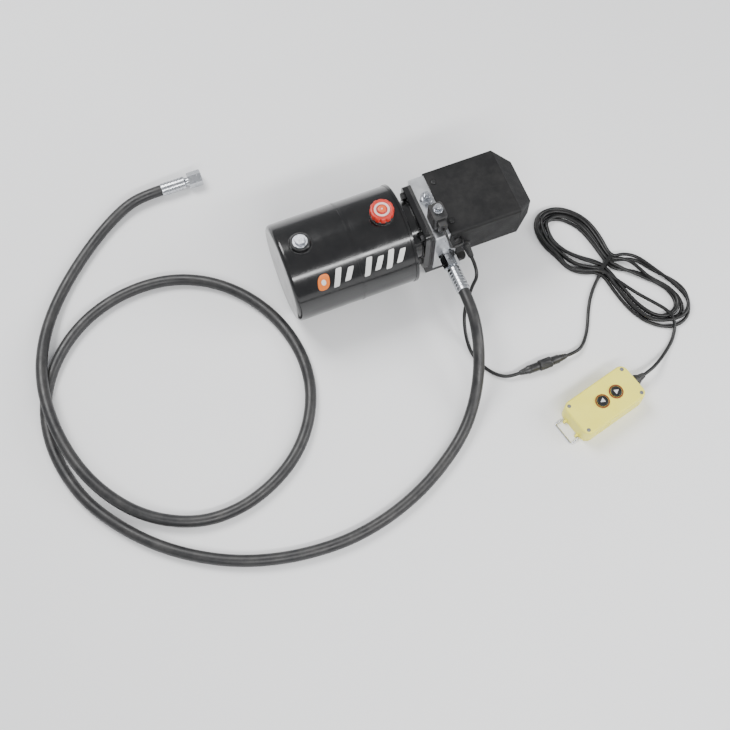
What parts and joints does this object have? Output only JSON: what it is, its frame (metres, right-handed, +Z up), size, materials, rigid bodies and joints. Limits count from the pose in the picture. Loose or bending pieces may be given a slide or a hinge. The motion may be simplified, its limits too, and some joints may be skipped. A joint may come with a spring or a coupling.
{
  "type": "hydraulic power unit",
  "caption": "Electric hydraulic power unit: round oil tank, manifold and covered motor on a foot bracket, with a long pressure hose and a two-button hand pendant on a lead.",
  "frame": {"origin": "centre of the foot bracket's four-hole bolt pattern, on the surface that it stands on", "axes": "+X along the shaft from the oil tank to the motor, +Y away from the pressure port, +Z up"},
  "size_m": [1.1937, 0.7889, 0.209],
  "materials": {
    "tank_paint": "gloss",
    "bracket_paint": "satin",
    "motor_paint": "satin",
    "black_bolts": "black oxide",
    "zinc_plate": "satin",
    "fitting_zinc": "satin",
    "gasket_rubber": "satin",
    "cap_red": "satin",
    "strainer_mesh": "satin",
    "pipe_steel": "satin",
    "block_aluminium": "satin",
    "motor_aluminium": "satin",
    "bush_alloy": "satin",
    "ground_steel": "ground",
    "core_steel": "laminated",
    "winding_copper": "gloss",
    "bar_copper": "satin",
    "magnet_ferrite": "matte",
    "brush_carbon": "matte",
    "relay_can": "satin",
    "seal_rubber": "matte",
    "coil_plastic": "matte",
    "cover_plastic": "matte",
    "hose_rubber": "satin",
    "lead_rubber": "satin",
    "tie_nylon": "satin",
    "gland_nylon": "matte",
    "connector_nylon": "satin",
    "case_yellow": "satin",
    "button_black": "satin",
    "switch_plastic": "matte",
    "bail_steel": "satin"
  },
  "bodies": {
    "root": {"brush_set": "brush_carbon", "cable_hank": "lead_rubber", "cable_in": "lead_rubber", "cable_out": "lead_rubber", "clamp_bolts": "black_bolts", "coil_lead": "lead_rubber", "control_lead": "lead_rubber", "cover_screws": "black_bolts", "hank_tie": "tie_nylon", "hose": "hose_rubber", "hose_ferrules": "fitting_zinc", "lead_gland": "gland_nylon", "lead_socket": "connector_nylon", "long_bolts": "zinc_plate", "manifold": "block_aluminium", "motor_bearings": "ground_steel", "motor_cover": "cover_plastic", "motor_drive_plate": "motor_aluminium", "motor_magnets": "magnet_ferrite", "motor_rear_cap": "motor_aluminium", "motor_yoke": "motor_paint", "mounting_bracket": "bracket_paint", "pendant_base": "case_yellow", "pendant_gland": "gland_nylon", "pendant_plug": "connector_nylon", "pendant_screws": "zinc_plate", "pendant_switches": "switch_plastic", "pendant_top": "case_yellow", "port_adaptor": "fitting_zinc", "port_plugs": "zinc_plate", "power_links": "bar_copper", "pressure_nut": "fitting_zinc", "pump_body": "motor_aluminium", "pump_bushes": "bush_alloy", "pump_cover": "motor_aluminium", "release_coil": "coil_plastic", "release_valve": "zinc_plate", "relief_valve": "zinc_plate", "seals": "seal_rubber", "start_relay": "relay_can", "suction_strainer": "strainer_mesh", "tank_end_cap": "tank_paint", "tank_front_head": "tank_paint", "tank_pipes": "pipe_steel", "tank_shell": "tank_paint", "top_plug": "zinc_plate"},
    "rotor": {"drive_gear": "ground_steel", "shaft_coupling": "ground_steel", "motor_shaft": "ground_steel", "armature_core": "core_steel", "armature_windings": "winding_copper", "commutator": "bar_copper"},
    "driven": {"driven_gear": "ground_steel"},
    "breather_seal": {"breather_gasket": "gasket_rubber"},
    "breather": {"breather_cap": "cap_red"},
    "override": {"override_pin": "zinc_plate"},
    "up": {"up_button": "button_black"},
    "down": {"down_button": "button_black"},
    "far_nut_body": {"far_nut": "fitting_zinc"},
    "bail": {"pendant_bail": "bail_steel"}
  },
  "joints": [
    {"name": "rotor_spin", "type": "hinge", "parent": "root", "child": "rotor", "pos_m": [0, 0, 0.093], "axis": [1, 0, 0], "continuous": true},
    {"name": "driven_spin", "type": "hinge", "parent": "root", "child": "driven", "pos_m": [0, 0, 0.069], "axis": [1, 0, 0], "continuous": true},
    {"name": "cap_lift", "type": "slide", "parent": "root", "child": "breather_seal", "axis": [0, 0, 1], "range_m": [0, 0.009]},
    {"name": "cap_turn", "type": "hinge", "parent": "breather_seal", "child": "breather", "pos_m": [-0.111, 0, 0.19], "axis": [0, 0, 1], "range_deg": [0, 1080]},
    {"name": "override_press", "type": "slide", "parent": "root", "child": "override", "axis": [0, 0, -1], "range_m": [0, 0.003], "stiffness_N_per_m": 400},
    {"name": "up_press", "type": "slide", "parent": "root", "child": "up", "axis": [0, 0, -1], "range_m": [0, 0.0025], "stiffness_N_per_m": 800},
    {"name": "down_press", "type": "slide", "parent": "root", "child": "down", "axis": [0, 0, -1], "range_m": [0, 0.0025], "stiffness_N_per_m": 800},
    {"name": "far_nut_spin", "type": "hinge", "parent": "root", "child": "far_nut_body", "pos_m": [-0.38, 0.291, 0.0158], "axis": [1, 0, 0], "continuous": true},
    {"name": "bail_swing", "type": "hinge", "parent": "root", "child": "bail", "pos_m": [0.07914, -0.42942, 0.0032], "axis": [-0.2419, 0.9703, 0], "range_deg": [0, 95]}
  ],
  "couplings": [
    {"joint": "driven_spin", "follows": "rotor_spin", "ratio": -1},
    {"joint": "cap_lift", "follows": "cap_turn", "m_per_rad": 0.00047746}
  ]
}
